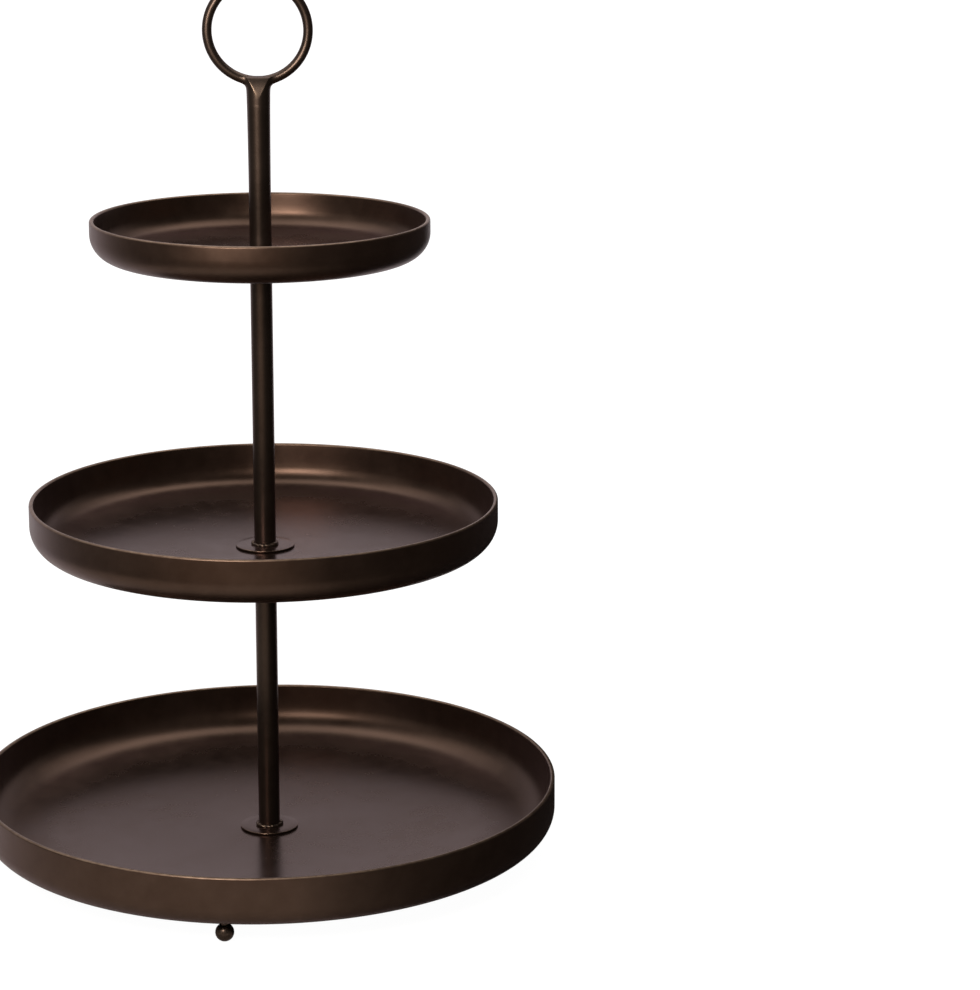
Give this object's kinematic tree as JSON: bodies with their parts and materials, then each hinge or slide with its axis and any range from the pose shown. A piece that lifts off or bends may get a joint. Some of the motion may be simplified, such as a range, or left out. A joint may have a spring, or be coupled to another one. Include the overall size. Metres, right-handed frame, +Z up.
{
  "type": "tiered serving stand",
  "caption": "Tiered round metal serving stand: open dishes of falling size on a central stem that unscrews, with a ring handle and ball feet.",
  "frame": {"origin": "on the stem's axis, on the surface that the ball feet stand on", "axes": "+Z up along the stem; the ring handle lies in the XZ plane, so the front view looks along +Y"},
  "size_m": [0.4, 0.4, 0.6028],
  "materials": {
    "dish_bronze": "dark oil-rubbed bronze, satin, worn bright at the rim",
    "stem_bronze": "dark oil-rubbed bronze, satin",
    "steel": "plain zinc-plated steel",
    "fibre": "dark pressed fibre"
  },
  "bodies": {
    "base": {"bottom_tray": "dish_bronze", "middle_tray": "dish_bronze", "lower_stem": "stem_bronze", "lower_flange": "stem_bronze", "lower_weld": "stem_bronze", "lower_fibre_washer": "fibre", "lower_bottom_insert": "steel", "lower_top_insert": "steel", "base_screw": "steel", "base_washer": "steel", "foot_ball_front": "stem_bronze", "foot_ball_left": "stem_bronze", "foot_ball_right": "stem_bronze", "foot_peg_front": "stem_bronze", "foot_peg_left": "stem_bronze", "foot_peg_right": "stem_bronze"},
    "middle_seat": {"middle_fibre_washer": "fibre"},
    "middle": {"middle_stem": "stem_bronze", "middle_flange": "stem_bronze", "middle_weld": "stem_bronze", "middle_plug": "steel", "middle_stud": "steel", "middle_top_insert": "steel", "top_tray": "dish_bronze"},
    "upper_seat": {"upper_fibre_washer": "fibre"},
    "upper": {"upper_stem": "stem_bronze", "upper_flange": "stem_bronze", "upper_weld": "stem_bronze", "upper_plug": "steel", "upper_stud": "steel", "handle_neck": "stem_bronze", "handle_ring": "stem_bronze"}
  },
  "joints": [
    {"name": "middle_lift", "type": "slide", "parent": "base", "child": "middle_seat", "axis": [0, 0, 1], "range_m": [0, 0.007]},
    {"name": "middle_unscrew", "type": "hinge", "parent": "middle_seat", "child": "middle", "pos_m": [0, 0, 0.2155], "axis": [0, 0, 1], "range_deg": [0, 2520]},
    {"name": "upper_lift", "type": "slide", "parent": "middle", "child": "upper_seat", "axis": [0, 0, 1], "range_m": [0, 0.007]},
    {"name": "upper_unscrew", "type": "hinge", "parent": "upper_seat", "child": "upper", "pos_m": [0, 0, 0.4157], "axis": [0, 0, 1], "range_deg": [0, 2520]}
  ],
  "couplings": [
    {"joint": "middle_lift", "follows": "middle_unscrew", "m_per_rad": 0.00015915},
    {"joint": "upper_lift", "follows": "upper_unscrew", "m_per_rad": 0.00015915}
  ]
}
